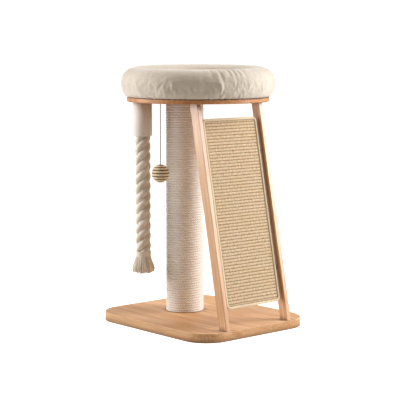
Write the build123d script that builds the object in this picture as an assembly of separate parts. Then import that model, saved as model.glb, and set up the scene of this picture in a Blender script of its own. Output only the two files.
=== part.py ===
from build123d import *
import os
from math import atan, cos, degrees, pi, sin, sqrt

# Cat tree with a slanted scratching ramp, a hanging rope, a hanging ball and a round bed on top.
# Millimetres. The origin is the centre of the base's underside, +Z is up, +X runs across the ramp,
# and the ramp faces -Y.

# --- driving dimensions ---------------------------------------------------------------------------

BASE_X = 380.0
BASE_Y = 450.0
BASE_T = 24.0
BASE_CORNER_R = 72.0
BASE_EDGE_R = 2.0

TOP_UNDERSIDE = 592.0
TOP_T = 12.0
TOP_R = 188.0
TOP_Y = 15.0
TOP_EDGE_R = 2.5

POST_Y = 70.0
POST_R = 51.0
WRAP_T = 6.0
CORE_WALL = 5.0
PLUG_T = 20.0

BOLT_R = 4.0
BOLT_HOLE_R = 4.5
BOLT_HEAD_R = 7.0
BOLT_HEAD_T = 4.0
BOLT_SOCKET_AF = 5.0
BOLT_SOCKET_DEPTH = 2.5
WASHER_R = 10.0
WASHER_T = 1.6
COUNTERBORE_R = 11.0
BASE_COUNTERBORE = 9.0
TOP_COUNTERBORE = 6.0
BOLT_REACH = 26.0

INSERT_R = 5.5
INSERT_LENGTH = 12.0
INSERT_FLANGE_R = 11.0
INSERT_FLANGE_T = 1.5

RAIL_W = 12.0
RAIL_DEPTH = 28.0
RAIL_OUTER_X = 113.5
RAIL_FOOT_Y = -225.0
RAIL_HEAD_Y = -110.6
RAIL_EDGE_R = 0.8

SCREW_R = 2.0
SCREW_HEAD_R = 4.0
SCREW_HEAD_T = 2.4
SCREW_LENGTH = 45.0
BASE_SCREW_RECESS = 8.0
SCREW_SPACING = 12.0
SCREW_SHIFT = 3.0

PANEL_W = 188.0
PANEL_LENGTH = 488.0
PANEL_FOOT = 54.0
PANEL_RECESS = 9.5
PANEL_T = 10.0
PANEL_CORNER_R = 12.0
BINDING_LAP = 7.0
BINDING_T = 1.2
SISAL_T = 3.6
PIN_R = 2.0
PIN_DEPTH_RAIL = 8.0
PIN_DEPTH_PANEL = 16.0
PIN_INSET = 90.0

SLEEVE_X = -101.0
SLEEVE_Y = 124.0
SLEEVE_R = 25.0
SLEEVE_COVER_T = 1.0
SLEEVE_WALL = 2.0
SLEEVE_LENGTH = 93.0
SLEEVE_PLUG_T = 20.0
SLEEVE_SCREW_LENGTH = 28.0

ROPE_R = 20.5
ROPE_SWING_DROP = 6.0
ROPE_BEND_DROP = 44.0
ROPE_LAID_END = 189.0
WHIPPING_END = 174.0
WHIPPING_T = 1.5
WHIPPING_PROUD = 0.8
TASSEL_R = 30.5
TASSEL_WIDEST = 141.0
TASSEL_END = 126.0

STRING_X = -104.0
STRING_Y = 46.0
STRING_R = 1.2
STRING_BEND_DROP = 30.0
STRING_HOLE_R = 1.6
KNOT_R = 3.6
KNOT_RECESS_R = 6.0
KNOT_RECESS = 8.0

BALL_Z = 404.0
BALL_R = 24.7
BALL_CORE_R = 20.0
STRING_IN_BALL = 14.0

BOLSTER_MAJOR_R = 164.0
BOLSTER_W = 78.0
BOLSTER_CORNER_R = 30.0
BED_CLEAR = 0.3
PATCH_T = 1.2
PATCH_X = 45.0
PATCH_Y = 25.0
PATCH_RING_R = 95.0
PATCH_ANGLE = 45.0
PATCH_COUNT = 4
FLOOR_R = 139.0
FLOOR_T = 2.0
PAD_R = 123.0
PAD_T = 26.0
PAD_EDGE_R = 9.0

# Clearance between a rounded rope end and the hollow above it, and how far above the hinge the
# hollow's rim lies, as a share of the rope's radius.
HINGE_CLEAR = 0.3
SOCKET_SHARE = 0.6

# --- derived places -------------------------------------------------------------------------------

TOP_UPPER = TOP_UNDERSIDE + TOP_T
RAIL_RISE = TOP_UNDERSIDE - BASE_T
RAIL_RUN = RAIL_HEAD_Y - RAIL_FOOT_Y
LEAN = atan(RAIL_RUN / RAIL_RISE)
RAIL_DEPTH_Y = RAIL_DEPTH / cos(LEAN)
CORE_R = POST_R - WRAP_T
CORE_BORE_R = CORE_R - CORE_WALL
SLEEVE_MOUTH = TOP_UNDERSIDE - SLEEVE_LENGTH
SLEEVE_TUBE_R = SLEEVE_R - SLEEVE_COVER_T
SLEEVE_BORE_R = SLEEVE_TUBE_R - SLEEVE_WALL
ROPE_SWING = SLEEVE_MOUTH - ROPE_SWING_DROP
ROPE_BEND = SLEEVE_MOUTH - ROPE_BEND_DROP
ROPE_SOCKET_R = ROPE_R + HINGE_CLEAR
STRING_BEND = TOP_UNDERSIDE - STRING_BEND_DROP
STRING_SOCKET_R = STRING_R + HINGE_CLEAR
BALL_TOP = BALL_Z + BALL_R
KNOT_Z = TOP_UPPER - KNOT_RECESS + KNOT_R
BED_BOTTOM = TOP_UPPER + BED_CLEAR
FLOOR_BOTTOM = TOP_UPPER + 2 * PATCH_T
PAD_BOTTOM = FLOOR_BOTTOM + FLOOR_T
BOARD_PLY_T = PANEL_T - 2 * BINDING_T - SISAL_T

# Points that the hanging rope and the hanging string follow. Both hang plumb, so their tubes are
# straight and have no arcs.
ROPE_ROUTE = [
    (SLEEVE_X, SLEEVE_Y, ROPE_SWING),
    (SLEEVE_X, SLEEVE_Y, ROPE_BEND),
    (SLEEVE_X, SLEEVE_Y, 320.0),
    (SLEEVE_X, SLEEVE_Y, WHIPPING_END),
]
STRING_ROUTE = [
    (STRING_X, STRING_Y, TOP_UNDERSIDE),
    (STRING_X, STRING_Y, STRING_BEND),
    (STRING_X, STRING_Y, 500.0),
    (STRING_X, STRING_Y, BALL_TOP),
]


# --- helpers --------------------------------------------------------------------------------------

def rod(radius, low, high, x=0.0, y=0.0):
    """Upright cylinder between two heights."""
    middle = (low + high) / 2
    return Pos(x, y, middle) * Cylinder(radius, high - low)


def ring(outer, inner, low, high, x=0.0, y=0.0):
    """Upright tube between two heights."""
    return rod(outer, low, high, x, y) - rod(inner, low, high, x, y)


def ball_at(radius, x, y, z):
    """Sphere about a point."""
    return Pos(x, y, z) * Sphere(radius)


def panel_place():
    """Frame at the middle of the panel's front face: x across, y up the slope, z out of its face."""
    outward = Vector(0, -cos(LEAN), sin(LEAN))
    uphill = Vector(0, sin(LEAN), cos(LEAN))
    foot = Vector(0, RAIL_FOOT_Y, BASE_T)
    middle = foot + uphill * (PANEL_FOOT + PANEL_LENGTH / 2) - outward * PANEL_RECESS
    return Plane(origin=middle, x_dir=(1, 0, 0), z_dir=outward).location


def screw(x, y, head_z, length, down):
    """Countersunk wood screw; head_z is the face of its head, and down says which way it points."""
    sign = -1 if down else 1
    shank = rod(SCREW_R, *sorted((head_z, head_z + sign * length)), x, y)
    cone_middle = head_z + sign * SCREW_HEAD_T / 2
    bottom_r = SCREW_R if down else SCREW_HEAD_R
    top_r = SCREW_HEAD_R if down else SCREW_R
    head = Pos(x, y, cone_middle) * Cone(bottom_r, top_r, SCREW_HEAD_T)
    slot = Pos(x, y, head_z) * Box(SCREW_HEAD_R, 0.8, 1.6)
    return shank + head - slot


def screw_envelope(x, y, head_z, length, down):
    """The space that a screw fills, for cutting its hole."""
    return screw(x, y, head_z, length, down) + Pos(x, y, head_z) * Box(SCREW_HEAD_R, 0.8, 1.6)


def bolt(seat_z, tip_z):
    """Button-head bolt on the post's axis; its head lies on the far side of seat_z from tip_z."""
    sign = 1 if seat_z > tip_z else -1
    crown_z = seat_z + sign * BOLT_HEAD_T
    shank = rod(BOLT_R, *sorted((seat_z, tip_z)), 0, POST_Y)
    head = rod(BOLT_HEAD_R, *sorted((seat_z, crown_z)), 0, POST_Y)
    socket_middle = crown_z - sign * BOLT_SOCKET_DEPTH / 2
    hexagon = RegularPolygon(BOLT_SOCKET_AF / sqrt(3), 6)
    socket = extrude(hexagon, BOLT_SOCKET_DEPTH / 2, both=True)
    return shank + head - Pos(0, POST_Y, socket_middle) * socket


def insert(face_z, inward):
    """Threaded insert pressed into a plug from inside the tube; inward points into the tube."""
    flange_far = face_z + inward * INSERT_FLANGE_T
    barrel_far = face_z - inward * INSERT_LENGTH
    flange = rod(INSERT_FLANGE_R, *sorted((face_z, flange_far)), 0, POST_Y)
    barrel = rod(INSERT_R, *sorted((face_z, barrel_far)), 0, POST_Y)
    bore = rod(BOLT_R, *sorted((barrel_far, flange_far)), 0, POST_Y)
    return flange + barrel - bore


# --- screw places ---------------------------------------------------------------------------------

def rail_screw_places(end_y, shift):
    """Centres of the two screws in each rail's end, two rails, near one end of the rails."""
    middle_y = end_y + RAIL_DEPTH_Y / 2 + shift
    middle_x = RAIL_OUTER_X - RAIL_W / 2
    return [(side * middle_x, middle_y + step * SCREW_SPACING / 2) for side in (-1, 1) for step in (-1, 1)]


BASE_SCREWS = [(x, y, BASE_SCREW_RECESS) for x, y in rail_screw_places(RAIL_FOOT_Y, SCREW_SHIFT)]
TOP_SCREWS = [(x, y, TOP_UPPER) for x, y in rail_screw_places(RAIL_HEAD_Y, -SCREW_SHIFT)]
PIN_HEIGHTS = (PIN_INSET - PANEL_LENGTH / 2, PANEL_LENGTH / 2 - PIN_INSET)


# --- base, top board and post ---------------------------------------------------------------------

def make_base_board():
    """Board with round corners and softened edges, bored for the post's bolt and the rails' screws."""
    outline = RectangleRounded(BASE_X, BASE_Y, BASE_CORNER_R)
    board = extrude(outline, BASE_T)
    board = fillet(board.faces().sort_by(Axis.Z)[-1].edges(), BASE_EDGE_R)
    board -= rod(BOLT_HOLE_R, 0, BASE_T, 0, POST_Y)
    board -= rod(COUNTERBORE_R, 0, BASE_COUNTERBORE, 0, POST_Y)
    for x, y, head_z in BASE_SCREWS:
        board -= screw_envelope(x, y, head_z, SCREW_LENGTH, down=False)
        board -= rod(SCREW_HEAD_R, 0, head_z, x, y)
    return board


def make_top_board():
    """Round board with softened edges, bored for its bolt, screws, rope screw and string."""
    board = Pos(0, TOP_Y, TOP_UNDERSIDE + TOP_T / 2) * Cylinder(TOP_R, TOP_T)
    rims = board.edges().filter_by(GeomType.CIRCLE)
    board = fillet(rims, TOP_EDGE_R)
    board -= rod(BOLT_HOLE_R, TOP_UNDERSIDE, TOP_UPPER, 0, POST_Y)
    board -= rod(COUNTERBORE_R, TOP_UPPER - TOP_COUNTERBORE, TOP_UPPER, 0, POST_Y)
    for x, y, head_z in TOP_SCREWS:
        board -= screw_envelope(x, y, head_z, SCREW_LENGTH, down=True)
    board -= screw_envelope(SLEEVE_X, SLEEVE_Y, TOP_UPPER, SLEEVE_SCREW_LENGTH, down=True)
    board -= rod(STRING_HOLE_R, TOP_UNDERSIDE, TOP_UPPER, STRING_X, STRING_Y)
    board -= rod(KNOT_RECESS_R, TOP_UPPER - KNOT_RECESS, TOP_UPPER, STRING_X, STRING_Y)
    return board


def make_post_core():
    """Tube that carries the top board."""
    return ring(CORE_R, CORE_BORE_R, BASE_T, TOP_UNDERSIDE, 0, POST_Y)


def make_post_wrap():
    """The wound rope's envelope round the tube."""
    return ring(POST_R, CORE_R, BASE_T, TOP_UNDERSIDE, 0, POST_Y)


def make_plug(low, high, inner_face, inward):
    """Disc in one end of the tube, bored for the bolt and the insert."""
    plug = rod(CORE_BORE_R, low, high, 0, POST_Y) - rod(BOLT_HOLE_R, low, high, 0, POST_Y)
    barrel_far = inner_face - inward * INSERT_LENGTH
    return plug - rod(INSERT_R, *sorted((inner_face, barrel_far)), 0, POST_Y)


def make_post_washers():
    """One washer under each bolt head."""
    low = ring(WASHER_R, BOLT_R, BASE_COUNTERBORE - WASHER_T, BASE_COUNTERBORE, 0, POST_Y)
    seat = TOP_UPPER - TOP_COUNTERBORE
    high = ring(WASHER_R, BOLT_R, seat, seat + WASHER_T, 0, POST_Y)
    return [low, high]


# --- ramp -----------------------------------------------------------------------------------------

def make_rail(side):
    """Slanted rail with level ends; side is -1 at the left and 1 at the right."""
    with BuildSketch(Plane.YZ) as profile:
        with BuildLine():
            Polyline(
                (RAIL_FOOT_Y, BASE_T),
                (RAIL_FOOT_Y + RAIL_DEPTH_Y, BASE_T),
                (RAIL_HEAD_Y + RAIL_DEPTH_Y, TOP_UNDERSIDE),
                (RAIL_HEAD_Y, TOP_UNDERSIDE),
                close=True,
            )
        make_face()
    middle_x = side * (RAIL_OUTER_X - RAIL_W / 2)
    rail = Pos(middle_x, 0, 0) * extrude(profile.sketch, RAIL_W / 2, both=True)
    slope = Vector(0, sin(LEAN), cos(LEAN))
    long_edges = rail.edges().filter_by(lambda edge: abs((edge % 0.5).dot(slope)) > 0.99)
    rail = fillet(long_edges, RAIL_EDGE_R)
    for x, y, head_z in BASE_SCREWS:
        rail -= screw_envelope(x, y, head_z, SCREW_LENGTH, down=False)
    for x, y, head_z in TOP_SCREWS:
        rail -= screw_envelope(x, y, head_z, SCREW_LENGTH, down=True)
    for pin in panel_pins():
        rail -= panel_place() * pin
    return rail


def panel_slab(inset, front, thickness):
    """Plate in the panel's frame; inset is from the panel's outline, front from its front face."""
    outline = RectangleRounded(PANEL_W - 2 * inset, PANEL_LENGTH - 2 * inset, PANEL_CORNER_R - inset)
    return Pos(0, 0, -front - thickness) * extrude(outline, thickness)


def panel_pins():
    """Four pins across the gaps between panel and rails, in the panel's frame."""
    low_x = PANEL_W / 2 - PIN_DEPTH_PANEL
    high_x = RAIL_OUTER_X - RAIL_W + PIN_DEPTH_RAIL
    depth = PANEL_T - BINDING_T - BOARD_PLY_T / 2
    pin = Rot(0, 90, 0) * Cylinder(PIN_R, high_x - low_x)
    return [
        Pos(side * (low_x + high_x) / 2, height, -depth) * pin
        for height in PIN_HEIGHTS
        for side in (-1, 1)
    ]


def make_panel_board():
    """The panel's stiff back."""
    board = panel_slab(BINDING_T, PANEL_T - BINDING_T - BOARD_PLY_T, BOARD_PLY_T)
    for pin in panel_pins():
        board -= pin
    return panel_place() * board


def make_panel_sisal():
    """Woven sisal on the board, raised inside the binding to its level."""
    sheet = panel_slab(BINDING_T, BINDING_T, SISAL_T)
    raised = panel_slab(BINDING_LAP, 0, BINDING_T)
    return panel_place() * (sheet + raised)


def make_panel_binding():
    """Cloth strip folded round the panel's edge."""
    strip = panel_slab(0, 0, PANEL_T) - panel_slab(BINDING_LAP, 0, PANEL_T)
    strip -= panel_slab(BINDING_T, BINDING_T, PANEL_T - 2 * BINDING_T)
    for pin in panel_pins():
        strip -= pin
    return panel_place() * strip


# --- hanging rope ---------------------------------------------------------------------------------

def make_sleeve_plug():
    """Plug that the sleeve and the rope's end are fixed to."""
    plug = rod(SLEEVE_BORE_R, TOP_UNDERSIDE - SLEEVE_PLUG_T, TOP_UNDERSIDE, SLEEVE_X, SLEEVE_Y)
    return plug - screw_envelope(SLEEVE_X, SLEEVE_Y, TOP_UPPER, SLEEVE_SCREW_LENGTH, down=True)


def make_rope_top():
    """The rope's end, glued inside the sleeve."""
    low = ROPE_SWING + ROPE_SOCKET_R
    end = rod(SLEEVE_BORE_R, low, TOP_UNDERSIDE - SLEEVE_PLUG_T, SLEEVE_X, SLEEVE_Y)
    return end - screw_envelope(SLEEVE_X, SLEEVE_Y, TOP_UPPER, SLEEVE_SCREW_LENGTH, down=True)


def make_rope_upper():
    """Short stretch in the sleeve's mouth, round at its top and hollowed for the stretch below."""
    rope = rod(ROPE_R, ROPE_BEND + ROPE_R * SOCKET_SHARE, ROPE_SWING, SLEEVE_X, SLEEVE_Y)
    rope += ball_at(ROPE_R, *ROPE_ROUTE[0])
    return rope - ball_at(ROPE_SOCKET_R, *ROPE_ROUTE[1])


def make_rope_lower():
    """The rest of the laid rope, round at its top and slimmer inside the whipping."""
    rope = rod(ROPE_R, ROPE_LAID_END, ROPE_BEND, SLEEVE_X, SLEEVE_Y)
    rope += ball_at(ROPE_R, *ROPE_ROUTE[1])
    return rope + rod(ROPE_R - WHIPPING_T, WHIPPING_END, ROPE_LAID_END, SLEEVE_X, SLEEVE_Y)


def make_rope_whipping():
    """Band wound round the rope above the tassel."""
    outer = ROPE_R + WHIPPING_PROUD
    return ring(outer, ROPE_R - WHIPPING_T, WHIPPING_END, ROPE_LAID_END, SLEEVE_X, SLEEVE_Y)


def make_rope_tassel():
    """Unlaid strands that flare below the whipping."""
    with BuildSketch(Plane.XZ) as profile:
        with BuildLine():
            Polyline((0, TASSEL_END), (0, WHIPPING_END), (ROPE_R, WHIPPING_END))
            Spline(
                (ROPE_R, WHIPPING_END),
                (TASSEL_R - 3, TASSEL_WIDEST + 12),
                (TASSEL_R, TASSEL_WIDEST),
                (TASSEL_R - 5, TASSEL_END + 6),
                (0, TASSEL_END),
                tangents=((0.2, -1), (-1, 0)),
            )
        make_face()
    return Pos(SLEEVE_X, SLEEVE_Y, 0) * revolve(profile.sketch, Axis.Z)


# --- hanging ball ---------------------------------------------------------------------------------

def make_string_knot():
    """Knot in its recess, with the string's stretch through the board."""
    stub_low = TOP_UNDERSIDE + STRING_SOCKET_R
    return ball_at(KNOT_R, STRING_X, STRING_Y, KNOT_Z) + rod(STRING_R, stub_low, KNOT_Z, STRING_X, STRING_Y)


def make_string_upper():
    """Short stretch under the board, round at its top and hollowed for the stretch below."""
    cord = rod(STRING_R, STRING_BEND + STRING_R * SOCKET_SHARE, TOP_UNDERSIDE, STRING_X, STRING_Y)
    cord += ball_at(STRING_R, *STRING_ROUTE[0])
    return cord - ball_at(STRING_SOCKET_R, *STRING_ROUTE[1])


def make_string_lower():
    """The rest of the string, down into the ball."""
    cord = rod(STRING_R, BALL_TOP - STRING_IN_BALL, STRING_BEND, STRING_X, STRING_Y)
    return cord + ball_at(STRING_R, *STRING_ROUTE[1])


def make_ball_core():
    """Light ball inside the winding."""
    core = ball_at(BALL_CORE_R, STRING_X, STRING_Y, BALL_Z)
    return core - rod(STRING_R, BALL_TOP - STRING_IN_BALL, BALL_TOP, STRING_X, STRING_Y)


def make_ball_winding():
    """Cord wound round the ball in level turns."""
    shell = ball_at(BALL_R, STRING_X, STRING_Y, BALL_Z)
    shell -= ball_at(BALL_CORE_R, STRING_X, STRING_Y, BALL_Z)
    return shell - rod(STRING_R, BALL_Z, BALL_TOP, STRING_X, STRING_Y)


# --- bed ------------------------------------------------------------------------------------------

def make_bed_bolster():
    """Round stuffed rim of the bed, flattened where it rests."""
    section = Plane.XZ * Pos(BOLSTER_MAJOR_R, BED_BOTTOM + BOLSTER_W / 2)
    profile = section * RectangleRounded(BOLSTER_W, BOLSTER_W, BOLSTER_CORNER_R)
    return Pos(0, TOP_Y, 0) * revolve(profile, Axis.Z)


def make_bed_floor():
    """Cloth floor sewn inside the bolster."""
    return rod(FLOOR_R, FLOOR_BOTTOM, PAD_BOTTOM, 0, TOP_Y)


def make_bed_pad():
    """Loose round pad."""
    pad = rod(PAD_R, PAD_BOTTOM, PAD_BOTTOM + PAD_T, 0, TOP_Y)
    return fillet(pad.edges().filter_by(GeomType.CIRCLE), PAD_EDGE_R)


def make_patches(low):
    """Hook-and-loop patches in a ring under the bed's floor."""
    patches = []
    for step in range(PATCH_COUNT):
        angle = PATCH_ANGLE + step * 360 / PATCH_COUNT
        place = Pos(0, TOP_Y, low + PATCH_T / 2) * Rot(0, 0, angle) * Pos(PATCH_RING_R, 0, 0)
        patches.append(place * Box(PATCH_Y, PATCH_X, PATCH_T))
    return patches


# --- the whole ------------------------------------------------------------------------------------

NODES = {
    "base_board": make_base_board(),
    "top_board": make_top_board(),
    "post_core": make_post_core(),
    "post_wrap": make_post_wrap(),
    "post_plug_base": make_plug(BASE_T, BASE_T + PLUG_T, BASE_T + PLUG_T, 1),
    "post_plug_top": make_plug(TOP_UNDERSIDE - PLUG_T, TOP_UNDERSIDE, TOP_UNDERSIDE - PLUG_T, -1),
    "post_insert_base": insert(BASE_T + PLUG_T, 1),
    "post_insert_top": insert(TOP_UNDERSIDE - PLUG_T, -1),
    "post_bolt_base": bolt(BASE_COUNTERBORE - WASHER_T, BASE_T + BOLT_REACH),
    "post_bolt_top": bolt(TOP_UPPER - TOP_COUNTERBORE + WASHER_T, TOP_UNDERSIDE - BOLT_REACH),
    "post_washers": make_post_washers(),
    "rail_left": make_rail(side=-1),
    "rail_right": make_rail(side=1),
    "rail_screws_base": [screw(x, y, z, SCREW_LENGTH, down=False) for x, y, z in BASE_SCREWS],
    "rail_screws_top": [screw(x, y, z, SCREW_LENGTH, down=True) for x, y, z in TOP_SCREWS],
    "panel_board": make_panel_board(),
    "panel_sisal": make_panel_sisal(),
    "panel_binding": make_panel_binding(),
    "panel_pins": [panel_place() * pin for pin in panel_pins()],
    "sleeve_tube": ring(SLEEVE_TUBE_R, SLEEVE_BORE_R, SLEEVE_MOUTH, TOP_UNDERSIDE, SLEEVE_X, SLEEVE_Y),
    "sleeve_cover": ring(SLEEVE_R, SLEEVE_TUBE_R, SLEEVE_MOUTH, TOP_UNDERSIDE, SLEEVE_X, SLEEVE_Y),
    "sleeve_plug": make_sleeve_plug(),
    "sleeve_screw": screw(SLEEVE_X, SLEEVE_Y, TOP_UPPER, SLEEVE_SCREW_LENGTH, down=True),
    "rope_top": make_rope_top(),
    "rope_upper": make_rope_upper(),
    "rope_lower": make_rope_lower(),
    "rope_whipping": make_rope_whipping(),
    "rope_tassel": make_rope_tassel(),
    "string_knot": make_string_knot(),
    "string_upper": make_string_upper(),
    "string_lower": make_string_lower(),
    "ball_core": make_ball_core(),
    "ball_winding": make_ball_winding(),
    "bed_hook_patches": make_patches(TOP_UPPER),
    "bed_loop_patches": make_patches(TOP_UPPER + PATCH_T),
    "bed_floor": make_bed_floor(),
    "bed_bolster": make_bed_bolster(),
    "bed_pad": make_bed_pad(),
}

os.makedirs("parts", exist_ok=True)
for name, shape in NODES.items():
    whole = Compound(children=shape) if isinstance(shape, list) else shape
    export_step(whole, f"parts/{name}.step")

print(f"{len(NODES)} nodes, rails lean {degrees(LEAN):.2f} degrees")
for name, route, radius in (("rope", ROPE_ROUTE, ROPE_R), ("string", STRING_ROUTE, STRING_R)):
    length = sum((Vector(*b) - Vector(*a)).length for a, b in zip(route, route[1:]))
    print(f"{name}: length {length:.1f}, radius {radius}, straight, so it has no arcs")
    print(f"{name}: section times length {pi * radius ** 2 * length:.0f}")
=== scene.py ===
import math

import bmesh
import bpy
import numpy as np
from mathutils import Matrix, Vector


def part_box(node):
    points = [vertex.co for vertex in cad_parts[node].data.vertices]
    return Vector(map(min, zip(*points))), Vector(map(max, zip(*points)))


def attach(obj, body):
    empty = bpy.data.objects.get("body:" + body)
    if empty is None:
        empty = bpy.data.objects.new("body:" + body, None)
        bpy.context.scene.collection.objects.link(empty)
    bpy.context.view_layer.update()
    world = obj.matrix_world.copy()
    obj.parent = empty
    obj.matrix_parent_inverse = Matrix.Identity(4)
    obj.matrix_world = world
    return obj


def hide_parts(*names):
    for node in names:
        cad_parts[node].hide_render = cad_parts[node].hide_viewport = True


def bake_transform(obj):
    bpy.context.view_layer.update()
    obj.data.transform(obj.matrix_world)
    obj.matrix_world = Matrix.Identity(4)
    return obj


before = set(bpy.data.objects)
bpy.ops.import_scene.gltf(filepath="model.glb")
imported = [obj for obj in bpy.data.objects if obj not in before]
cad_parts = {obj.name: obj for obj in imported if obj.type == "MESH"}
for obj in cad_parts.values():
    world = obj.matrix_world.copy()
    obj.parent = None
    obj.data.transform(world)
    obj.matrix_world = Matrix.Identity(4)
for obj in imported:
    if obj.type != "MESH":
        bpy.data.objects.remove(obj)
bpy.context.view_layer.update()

TURN = 2 * math.pi
CREW = np.random.RandomState(11)  # every random draw comes from here, in a fixed order

# --- places taken from the frame, in metres ---


def span(node):
    """(lowest corner, highest corner, middle) of a CAD node, as arrays."""
    low, high = (np.array(corner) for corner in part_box(node))
    return low, high, (low + high) / 2


UP = np.array((0.0, 0.0, 1.0))
X_WAY = np.array((1.0, 0.0, 0.0))
FLOOR_HALF = 30.0
FLOOR_Z = -0.0004
LIGHT_AIM_HEIGHT = 0.35

# Camera: it stands to the front and left, a little above the bed.
CAMERA_AZIMUTH = math.radians(-41.18)
CAMERA_PITCH = math.radians(6.79)
CAMERA_DISTANCE = 3.6251
CAMERA_SIDE = -0.0048
CAMERA_HEIGHT = 0.7612
CAMERA_LENS = 123.4
FORWARD = np.array((-math.sin(CAMERA_AZIMUTH), math.cos(CAMERA_AZIMUTH), 0.0))
BACK = math.atan2(FORWARD[1], FORWARD[0])  # bearing of the side away from the camera
RIGHT = np.array((math.cos(CAMERA_AZIMUTH), math.sin(CAMERA_AZIMUTH), 0.0))

# Routes of the hanging rope and string, as in the CAD source.
ROPE_ROUTE = [
    (-0.101, 0.124, 0.493),
    (-0.101, 0.124, 0.455),
    (-0.101, 0.124, 0.320),
    (-0.101, 0.124, 0.174),
]
STRING_ROUTE = [
    (-0.104, 0.046, 0.592),
    (-0.104, 0.046, 0.562),
    (-0.104, 0.046, 0.500),
    (-0.104, 0.046, 0.4287),
]
ROPE_R = 0.0205
STRING_R = 0.0012


# --- camera, light and floor ---

def make_camera():
    data = bpy.data.cameras.new("camera")
    data.lens = CAMERA_LENS
    data.sensor_width = 36.0
    camera = bpy.data.objects.new("camera", data)
    bpy.context.scene.collection.objects.link(camera)
    place = RIGHT * CAMERA_SIDE - FORWARD * CAMERA_DISTANCE
    camera.location = (place[0], place[1], CAMERA_HEIGHT)
    camera.rotation_euler = (math.pi / 2 - CAMERA_PITCH, 0, CAMERA_AZIMUTH)
    bpy.context.scene.camera = camera


def make_light(name, side, toward, height, width, tall, power):
    """Soft panel light; side is to the camera's right and toward is on the camera's side."""
    data = bpy.data.lights.new(name, "AREA")
    data.shape = "RECTANGLE"
    data.size = width
    data.size_y = tall
    data.energy = power
    light = bpy.data.objects.new(name, data)
    place = RIGHT * side - FORWARD * toward + UP * height
    light.location = place
    aim = Vector((0, 0, LIGHT_AIM_HEIGHT)) - Vector(place)
    light.rotation_euler = aim.to_track_quat("-Z", "Y").to_euler()
    bpy.context.scene.collection.objects.link(light)


def make_studio():
    """White surroundings, warm dim light from all round, and bright soft panels at both sides."""
    bpy.context.scene.view_settings.view_transform = "Standard"
    world = bpy.data.worlds.new("studio")
    bpy.context.scene.world = world
    world.use_nodes = True
    tree = world.node_tree
    background = tree.nodes["Background"]
    path = add(tree, "LightPath")
    sharp = maths(tree, "MAXIMUM", path.outputs["Is Camera Ray"], path.outputs["Is Glossy Ray"])
    tree.links.new(mixed(tree, sharp, (1.0, 0.80, 0.57, 1), (1, 1, 1, 1)), background.inputs["Color"])
    strength = scaled(tree, path.outputs["Is Camera Ray"], 0.20, 1.1)
    strength = maths(tree, "MULTIPLY_ADD", path.outputs["Is Glossy Ray"], 0.55, strength)
    tree.links.new(strength, background.inputs["Strength"])
    make_light("key_right", side=2.6, toward=-0.10, height=1.5, width=1.8, tall=2.2, power=104)
    make_light("fill_left", side=-2.6, toward=-0.15, height=1.3, width=1.8, tall=2.2, power=76)
    make_light("top", side=0.1, toward=-0.3, height=2.6, width=1.8, tall=1.8, power=8)

    half = FLOOR_HALF
    corners = [(x * half, y * half, FLOOR_Z) for x, y in ((-1, -1), (1, -1), (1, 1), (-1, 1))]
    mesh = bpy.data.meshes.new("floor")
    mesh.from_pydata(corners, [], [(0, 1, 2, 3)])
    floor = bpy.data.objects.new("floor", mesh)
    bpy.context.scene.collection.objects.link(floor)
    material, tree, shader = new_material("studio_floor", 0.9, specular=0.0)
    shader.inputs["Base Color"].default_value = (0.62, 0.61, 0.60, 1)
    shader.inputs["Emission Color"].default_value = (1, 1, 1, 1)
    seen = add(tree, "LightPath").outputs["Is Camera Ray"]
    feed(shader, "Emission Strength", seen)
    mesh.materials.append(material)


# --- shader helpers ---

def srgb(red, green, blue):
    """Colour given as it looks on a screen, 0 to 255, in the shader's linear terms."""
    return tuple((part / 255) ** 2.2 for part in (red, green, blue)) + (1.0,)


def add(tree, kind, inputs=None, **settings):
    """New shader node; each input is a value or the socket that feeds it."""
    made = tree.nodes.new("ShaderNode" + kind)
    for key, value in settings.items():
        setattr(made, key, value)
    for key, value in (inputs or {}).items():
        if isinstance(value, bpy.types.NodeSocket):
            tree.links.new(value, made.inputs[key])
        else:
            made.inputs[key].default_value = value
    return made


def new_material(name, roughness, sheen=0.0, metallic=0.0, specular=0.4):
    material = bpy.data.materials.new(name)
    material.use_nodes = True
    shader = material.node_tree.nodes["Principled BSDF"]
    shader.inputs["Roughness"].default_value = roughness
    shader.inputs["Sheen Weight"].default_value = sheen
    shader.inputs["Metallic"].default_value = metallic
    shader.inputs["Specular IOR Level"].default_value = specular
    return material, material.node_tree, shader


def feed(shader, socket, value):
    shader.id_data.links.new(value, shader.inputs[socket])


def coordinates(tree, scale=(1, 1, 1), rotation=(0, 0, 0), kind="Object"):
    source = add(tree, "TexCoord").outputs[kind]
    return add(tree, "Mapping", {"Vector": source, "Scale": scale, "Rotation": rotation}).outputs[0]


def axes(tree, vector):
    return add(tree, "SeparateXYZ", {"Vector": vector}).outputs


def stretched(tree, vector, scale, place=(0, 0, 0)):
    return add(tree, "Mapping", {"Vector": vector, "Scale": scale, "Location": place}).outputs[0]


def cloudy(tree, vector, scale, detail=3.0, roughness=0.5, distortion=0.0):
    made = add(tree, "TexNoise", {
        "Vector": vector, "Scale": scale, "Detail": detail, "Roughness": roughness, "Distortion": distortion,
    })
    return made.outputs["Fac"]


def ramp(tree, factor, *stops):
    """Colour ramp; each stop is (place, colour)."""
    made = add(tree, "ValToRGB", {"Fac": factor})
    elements = made.color_ramp.elements
    while len(elements) < len(stops):
        elements.new(0.5)
    for element, (place, colour) in zip(elements, stops):
        element.position = place
        element.color = colour
    return made.outputs["Color"]


def mixed(tree, factor, first, second, blend="MIX"):
    made = add(tree, "Mix", {0: factor, 6: first, 7: second}, data_type="RGBA", blend_type=blend)
    return made.outputs[2]


def maths(tree, operation, first, second=0.0, third=0.0):
    return add(tree, "Math", {0: first, 1: second, 2: third}, operation=operation).outputs[0]


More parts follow.
